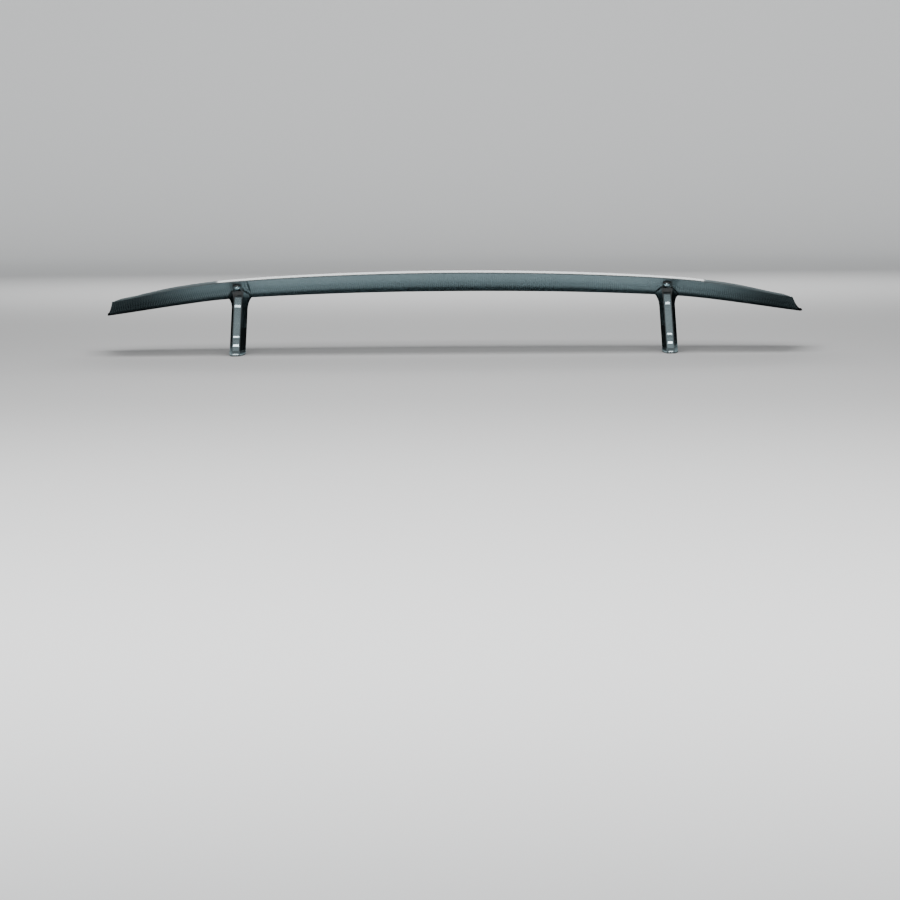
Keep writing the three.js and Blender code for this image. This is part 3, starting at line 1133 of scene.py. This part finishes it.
        def socket(x: float, y: float, z: float) -> Vector:
            """Maps a cube's corner to the space of the core in the head.

            Args:
                x: the corner's side, -1 or 1.
                y: its end, -1 or 1.
                z: its level, -1 or 1.

            Returns:
                The corner of the cutter.
            """
            top = (self.mast_top if y < 0 else self.mast_front_top) + self.gap
            forward = -self.socket_reach if y < 0 else self.mast_chord + self.gap
            return self.at(forward, x * margin, top if z > 0 else self.fairing_top - self.socket_reach)

        cut(piece, [self._block("socket", socket), self._pocket(self.head_pocket)])
        soften(piece, 0.4 * MM)
        return piece

    def tongues(self) -> bpy.types.Object:
        """Builds the mounting flange whose rounded ends carry the saddle screws."""
        return self._layer("saddle_tongue", self.shim + 2 * self.gap, self.tongue_thickness, 0.0)

    def shim_layer(self) -> bpy.types.Object:
        """Builds the rubber shim between the tongues and the blade."""
        return self._layer("saddle_seal", self.gap, self.shim, 0.0004)

    def _layer(self, word: str, above: float, thick: float, proud: float) -> bpy.types.Object:
        """A layer under the blade with a capsule outline: round ends and straight sides.

        Args:
            word: what the layer is called.
            above: the gap between it and the blade.
            thick: its thickness.
            proud: how far it stands out past the tongues.

        Returns:
            The new piece.
        """
        rear, front = self.tongue_ends
        half = self.tongue_half + proud
        x0 = self.mast_x - self.splay * self.head_z
        arc = [math.pi * i / 16 for i in range(17)]
        outline = [(front + half * math.sin(a), half * math.cos(a)) for a in arc]
        outline += [(rear + (front - rear) * i / 24, -half) for i in range(23, 0, -1)]
        outline += [(rear - half * math.sin(a), -half * math.cos(a)) for a in arc]
        outline += [(rear + (front - rear) * i / 24, half) for i in range(1, 24)]

        def place(at: float, run: float) -> Vector:
            """The capsule's point, on the layer's upper or lower side.

            Args:
                at: the share of the way round the capsule.
                run: 0 for the lower side and 1 for the upper one.

            Returns:
                The point in the wing's frame.
            """
            y, sideways = along(outline, at)
            x = x0 + sideways
            below = above + thick * (1 - run)
            return Vector((self.side.value * x, y, self._seat(x, y, below)))

        piece = finished(f"{word}_{self.side.word}", loft(len(outline), 2, place), 25.0)
        soften(piece, 0.4 * MM, 2, 50.0)
        return piece

    def foot(self, word: str, z0: float, z1: float) -> bpy.types.Object:
        """Builds the foot shoe or its gasket, in the column's plan outline."""
        return finished(f"{word}_{self.side.word}", self._upwards(self._outline(20), z0, z1, 2))

    def pad(self) -> bpy.types.Object:
        """Builds the rubber pad that meets the deck.

        Returns:
            The new piece.
        """
        piece = self.foot("foot_pad", 0.0, self.gasket)
        soften(piece, 0.4 * MM)
        return piece

    def shoe(self) -> bpy.types.Object:
        """Builds the foot shoe, with a shallow pocket in its rear facet.

        Returns:
            The new piece.
        """
        piece = self.foot("shoe", self.gasket + self.gap, self.shoe_top)
        cut(piece, [self._pocket(self.shoe_pocket)])
        soften(piece, 0.35 * MM)
        return piece

    def button_screw(self, y: float, place_word: str) -> bpy.types.Object:
        """Builds one button-head screw with a hex socket under a tongue.

        Args:
            y: its place along the car.
            place_word: rear or front.

        Returns:
            The new piece.
        """
        profile = [(3.0, 9.0), (3.0, 0.0), (7.0, 0.0), (7.2, -0.2), (7.2, -0.8), (7.0, -1.0), (5.3, -1.0),
                   (5.05, -1.3), (4.5, -2.2), (3.6, -2.9), (2.7, -3.25), (2.2, -3.3)]
        bm = bmesh.new()
        ring = bmesh.ops.create_circle(bm, segments=36, radius=profile[0][0] * MM)
        edges = list({e for v in ring["verts"] for e in v.link_edges})
        bmesh.ops.translate(bm, verts=ring["verts"], vec=(0, 0, profile[0][1] * MM))
        bmesh.ops.holes_fill(bm, edges=edges, sides=0)
        for (radius, level), (r, z) in zip(profile, profile[1:]):
            edges = self._grow(bm, edges, r / radius, (z - level) * MM)
        self._hex(bm, edges, 2.0 * MM)
        bmesh.ops.recalc_face_normals(bm, faces=bm.faces)
        bm.loops.layers.uv.new("cloth")
        x = self.mast_x - self.splay * self.head_z
        normal = self.blade.under_normal(x, y)
        seat = self.blade.under(x, y) + normal * (self.shim + 3 * self.gap + self.tongue_thickness)
        turn = normal.to_track_quat("-Z", "Y").to_matrix().to_4x4()
        bmesh.ops.transform(bm, matrix=Matrix.Translation(seat) @ turn, verts=bm.verts)
        if self.side is Side.LEFT:
            bmesh.ops.scale(bm, vec=(-1, 1, 1), verts=bm.verts)
            bmesh.ops.reverse_faces(bm, faces=bm.faces)
        return finished(f"button_screw_{place_word}_{self.side.word}", bm, 30.0)

    @staticmethod
    def _grow(bm: bmesh.types.BMesh, edges: list[bmesh.types.BMEdge], scale: float,
              rise: float) -> list[bmesh.types.BMEdge]:
        """Extrudes a ring of edges, then scales it about its middle and moves it along Z.

        Args:
            bm: the bmesh.
            edges: the ring.
            scale: the new ring's scale.
            rise: how far it moves.

        Returns:
            The new ring.
        """
        out = bmesh.ops.extrude_edge_only(bm, edges=edges)["geom"]
        verts = [v for v in out if isinstance(v, bmesh.types.BMVert)]
        bmesh.ops.scale(bm, vec=(scale, scale, 1.0), verts=verts)
        bmesh.ops.translate(bm, vec=(0, 0, rise), verts=verts)
        return [e for e in out if isinstance(e, bmesh.types.BMEdge)]

    @staticmethod
    def _hex(bm: bmesh.types.BMesh, edges: list[bmesh.types.BMEdge], deep: float) -> None:
        """Sinks a hex socket inside the last ring of a screw's head.

        Args:
            bm: the screw's bmesh.
            edges: the last ring.
            deep: the socket's depth.
        """
        apothem = 2.0 * MM

        def to_hex(verts: set[bmesh.types.BMVert]) -> None:
            """Moves a ring's points onto a hexagon.

            Args:
                verts: the ring's points.
            """
            for vert in verts:
                angle = math.atan2(vert.co.y, vert.co.x) % (math.pi / 3) - math.pi / 6
                radius = apothem / math.cos(angle)
                scale = radius / math.hypot(vert.co.x, vert.co.y)
                vert.co.x *= scale
                vert.co.y *= scale

        for rise in (0.0, deep):
            edges = Stanchion._grow(bm, edges, 1.0, rise)
            to_hex({vert for edge in edges for vert in edge.verts})
        bmesh.ops.holes_fill(bm, edges=edges, sides=0)

    def build(self, finishes: Finishes) -> None:
        """Makes, dresses and places every piece of the stanchion.

        Args:
            finishes: the wing's finishes.
        """
        word = self.side.word
        install(self.mast(), [f"mast_{word}"], finishes, finishes.mast)
        install(self.fairing(1), [f"fairing_outer_{word}"], finishes, finishes.stanchion)
        install(self.fairing(-1), [f"fairing_inner_{word}"], finishes, finishes.stanchion)
        install(self.saddle(), [f"saddle_{word}"], finishes, finishes.stanchion)
        install(self.tongues(), [], finishes, finishes.blade)
        install(self.shim_layer(), [f"saddle_shim_{word}"], finishes, finishes.rubber)
        install(self.pad(), [f"foot_gasket_{word}"], finishes, finishes.rubber)
        install(self.shoe(), [f"foot_shoe_{word}"], finishes, finishes.shoe)
        for place_word, y in zip(("rear", "front"), self.tongue_ends):
            install(self.button_screw(y, place_word), [f"saddle_screw_{place_word}_{word}"],
                    finishes, finishes.steel)


def install(piece: bpy.types.Object, nodes: list[str], finishes: Finishes, finish: object) -> None:
    """Dresses a piece, makes it ride on the wing and stand for its CAD nodes.

    Args:
        piece: the new piece.
        nodes: the CAD nodes that it replaces.
        finishes: the wing's finishes.
        finish: the one that the piece takes.
    """
    finishes.dress(piece, finish)
    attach(piece, ROOT)
    if nodes:
        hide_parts(*nodes)
    log.info("%s stands for %s", piece.name, ", ".join(nodes) or "a detail")


class Inside:
    """The CAD pieces that stay as they are, inside the blade and the feet."""

    KINDS = (("hardpoint", "plate"), ("foot_insert", "steel"), ("foot_screw", "steel"),
             ("front_spar", "laminate"), ("rear_spar", "laminate"), ("rib_", "laminate"))

    def build(self, finishes: Finishes) -> None:
        """Gives each kept CAD node the finish of its kind.

        Args:
            finishes: the wing's finishes.
        """
        for name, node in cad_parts.items():
            for start, finish in self.KINDS:
                if name.startswith(start):
                    finishes.dress(node, getattr(finishes, finish))


# ------------------------------------------------------------------ studio


@dataclass(frozen=True)
class Viewpoint:
    """A long lens well behind the car, a little above and to the right of the wing."""

    target: tuple[float, float, float] = (0.0, -0.02, 0.15)
    azimuth: float = 1.49
    elevation: float = 3.4
    distance: float = 9.0
    lens: float = 160.45
    aim_below: float = 2.319
    aim_left: float = 0.057
    roll: float = 0.51

    def build(self) -> None:
        """Makes the camera and puts it in charge."""
        az, el = math.radians(self.azimuth), math.radians(self.elevation)
        back = Vector((math.sin(az) * math.cos(el), -math.cos(az) * math.cos(el), math.sin(el)))
        place = Vector(self.target) + back * self.distance
        right = Vector((math.cos(az), math.sin(az), 0.0))
        tilt = Matrix.Rotation(math.radians(-self.aim_below), 3, right)
        forward = Matrix.Rotation(math.radians(self.aim_left), 3, "Z") @ (tilt @ -back)
        up = right.cross(forward).normalized()
        roll = Matrix.Rotation(math.radians(self.roll), 3, forward)
        right = forward.cross(up).normalized()
        axes = Matrix((roll @ right, roll @ up, -forward)).transposed().to_4x4()
        data = bpy.data.cameras.new("camera")
        data.lens = self.lens
        data.sensor_width = 36.0
        data.clip_end = 100.0
        camera = bpy.data.objects.new("camera", data)
        camera.matrix_world = Matrix.Translation(place) @ axes
        bpy.context.scene.collection.objects.link(camera)
        bpy.context.scene.camera = camera


@dataclass(frozen=True)
class Softbox:
    """One rectangular studio lamp."""

    name: str
    place: tuple[float, float, float]
    size: tuple[float, float]
    power: float
    colour: tuple[float, float, float] = (1.0, 1.0, 1.0)
    aim: tuple[float, float, float] = (0.0, 0.0, 0.12)

    def build(self) -> None:
        """Hangs the lamp and turns it to its aim."""
        data = bpy.data.lights.new(self.name, "AREA")
        data.shape = "RECTANGLE"
        data.size, data.size_y = self.size
        data.energy = self.power
        data.color = self.colour
        lamp = bpy.data.objects.new(self.name, data)
        lamp.location = self.place
        direction = Vector(self.aim) - Vector(self.place)
        lamp.rotation_euler = direction.to_track_quat("-Z", "Y").to_euler()
        bpy.context.scene.collection.objects.link(lamp)


@dataclass
class Studio:
    """A pale floor, soft lamps, and a cloth, card and flags that only reflections see."""

    floor_level: float = 0.25
    card_y: float = 0.9
    card_height: float = 0.5
    cloth_from: float = -0.04
    cloth_height: float = 0.001
    cloth_light: float = -0.02
    cloth_level: float = 0.85
    cloth_dark: float = 0.34
    far_level: float = 0.85
    floor_half: float = 9.0
    floor_back: float = 8.5
    backdrop_y: float = 6.0
    backdrop_round: float = 2.0
    backdrop_height: float = 4.0
    card_half_width: float = 3.0
    dim_span: tuple[float, float] = (0.42, 0.72)
    dim_share: float = 0.92
    flags_x: tuple[float, float] = (-0.463, 0.463)
    flag_height: float = 0.06
    flag_ends: tuple[float, float] = (-0.045, 0.14)

    def build(self) -> None:
        """Lays the floor, hangs the lamps and sets the sky."""
        self._floor()
        self._card()
        for lamp in (
            Softbox("rear_bank", (0.0, -1.95, 2.75), (2.5, 1.5), 225.0),
            Softbox("back_bank", (0.0, -5.0, 3.0), (4.6, 1.0), 330.0, aim=(0.0, -1.0, 0.0)),
            Softbox("front_fill", (0.0, 2.6, 1.4), (3.0, 0.8), 90.0),
        ):
            lamp.build()
        world = bpy.data.worlds.new("studio_air")
        world.use_nodes = True
        sky = world.node_tree.nodes["Background"]
        sky.inputs["Color"].default_value = (0.78, 0.82, 0.84, 1.0)
        sky.inputs["Strength"].default_value = 0.5
        bpy.context.scene.world = world

    def _sheet(self, name: str, rows: int, place: Callable[[float, float], Vector]) -> bpy.types.Object:
        """A sheet whose unit square is mapped to places.

        Args:
            name: the sheet's name.
            rows: how many strips it has.
            place: gives a point for -1 to 1 across and 0 to 1 along.

        Returns:
            The sheet.
        """
        bm = bmesh.new()
        bmesh.ops.create_grid(bm, x_segments=1, y_segments=rows, size=1.0)
        for vert in bm.verts:
            vert.co = place(vert.co.x, (vert.co.y + 1.0) / 2)
        bmesh.ops.recalc_face_normals(bm, faces=bm.faces)
        return finished(name, bm, 60.0)

    def _fading(self, name: str, start: float, end: float, near: float, far: float,
                tint: Sequence[float] = (1.0, 1.0, 1.0)) -> Graph:
        """A matt grey whose level changes with the distance from the wing along Y.

        Args:
            name: the material's name.
            start: the distance where the change begins.
            end: the distance where it ends.
            near: the level before it.
            far: the level past it.
            tint: the grey's tint.

        Returns:
            The material's node tree.
        """
        g = Graph(name)
        parts = g.node("ShaderNodeSeparateXYZ")
        g.feed(parts.inputs[0], g.node("ShaderNodeTexCoord").outputs["Object"])
        ramp = g.node("ShaderNodeMapRange", interpolation_type="SMOOTHSTEP")
        g.feed(ramp.inputs["Value"], g.math("ABSOLUTE", parts.outputs[1]))
        ramp.inputs["From Min"].default_value = start
        ramp.inputs["From Max"].default_value = end
        g.set(base_color=g.blend(ramp.outputs["Result"], grey(near, tint), grey(far, tint)), roughness=0.9)
        g.shader.inputs["Specular IOR Level"].default_value = 0.0
        return g

    def _floor(self) -> None:
        """Lays the floor, which curves up into a backdrop far ahead of the wing."""
        flat = self.backdrop_y - self.backdrop_round + self.floor_back
        bend = math.pi / 2 * self.backdrop_round
        length = flat + bend + self.backdrop_height

        def place(x: float, run: float) -> Vector:
            """Follows the flat floor, the bend and the wall.

            Args:
                x: the place across, -1 to 1.
                run: the share of the way along.

            Returns:
                The point.
            """
            s = run * length
            if s <= flat:
                return Vector((x * self.floor_half, s - self.floor_back, 0.0))
            if s <= flat + bend:
                turn = (s - flat) / self.backdrop_round
                return Vector((x * self.floor_half,
                               flat - self.floor_back + self.backdrop_round * math.sin(turn),
                               self.backdrop_round * (1 - math.cos(turn))))
            return Vector((x * self.floor_half, self.backdrop_y, self.backdrop_round + s - flat - bend))

        floor = self._sheet("floor", 160, place)
        # The floor grows paler away from the wing: painted light that makes up for the lamps' falloff over
        # the far floor and the backdrop.
        g = self._fading("pale_floor", 1.0, 6.0, self.floor_level, self.far_level)
        floor.data.materials.append(g.material)

    def _card(self) -> None:
        """Lays and stands dark sheets ahead of the wing, where a car's rear window would be."""
        wide, reach = self.card_half_width, self.card_y - self.cloth_from

        def laid(x: float, run: float) -> Vector:
            """A point of the cloth just over the floor."""
            return Vector((x * wide, self.cloth_from + reach * run, self.cloth_height))

        def stood(x: float, run: float) -> Vector:
            """A point of the upright card."""
            return Vector((x * wide, self.card_y, self.card_height * run))

        cloth = self._sheet("dark_cloth", 1, laid)
        card = self._sheet("dark_card", 1, stood)
        material = self._dimmed_cloth()
        for sheet in (card, cloth):
            self._hide_from_all_but_shine(sheet, material)
        black = self._fading("black_flag", *self.flag_ends, BLACK, BLACK).material
        for x in self.flags_x:
            self._hide_from_all_but_shine(self._flag(x), black)

    def _flag(self, x: float) -> bpy.types.Object:
        """Stands a low sheet beside a stanchion, to keep the bright cloth out of its flanks."""
        middle, half = sum(self.flag_ends) / 2, (self.flag_ends[1] - self.flag_ends[0]) / 2
        return self._sheet("flag", 1, lambda y, run: Vector((x, middle + half * y, self.flag_height * run)))

    def _dimmed_cloth(self) -> bpy.types.Material:
        """A grey that darkens away from the wing, both ahead of it and past the stanchions.

        Returns:
            The material.
        """
        g = self._fading("dark_card", self.cloth_light, self.cloth_dark, self.cloth_level, BLACK, COOL_LIGHT_TINT)
        side = g.node("ShaderNodeMapRange", interpolation_type="SMOOTHSTEP")
        parts = g.tree.nodes["Separate XYZ"]
        g.feed(side.inputs["Value"], g.math("ABSOLUTE", parts.outputs[0]))
        side.inputs["From Min"].default_value, side.inputs["From Max"].default_value = self.dim_span
        level = g.shader.inputs["Base Color"].links[0].from_socket
        dimmed = g.blend(self.dim_share, level, grey(0.0))
        g.set(base_color=g.blend(side.outputs["Result"], level, dimmed))
        return g.material

    @staticmethod
    def _hide_from_all_but_shine(card: bpy.types.Object, material: bpy.types.Material) -> None:
        """Gives a sheet its material, and leaves it to glossy reflections alone.

        Args:
            card: the sheet.
            material: its material.
        """
        card.data.materials.append(material)
        card.visible_camera = False
        card.visible_diffuse = False
        card.visible_shadow = False


def main() -> None:
    """Builds the studio, the blade, the stanchions and the inner pieces."""
    logging.basicConfig(level=logging.INFO, format="%(name)s: %(message)s")
    Viewpoint().build()
    Studio().build()
    finishes = Finishes()
    blade = Blade()
    blade.build(finishes)
    for side in Side:
        Stanchion(side, blade.shape).build(finishes)
    Inside().build(finishes)


if __name__ == "__main__":
    main()
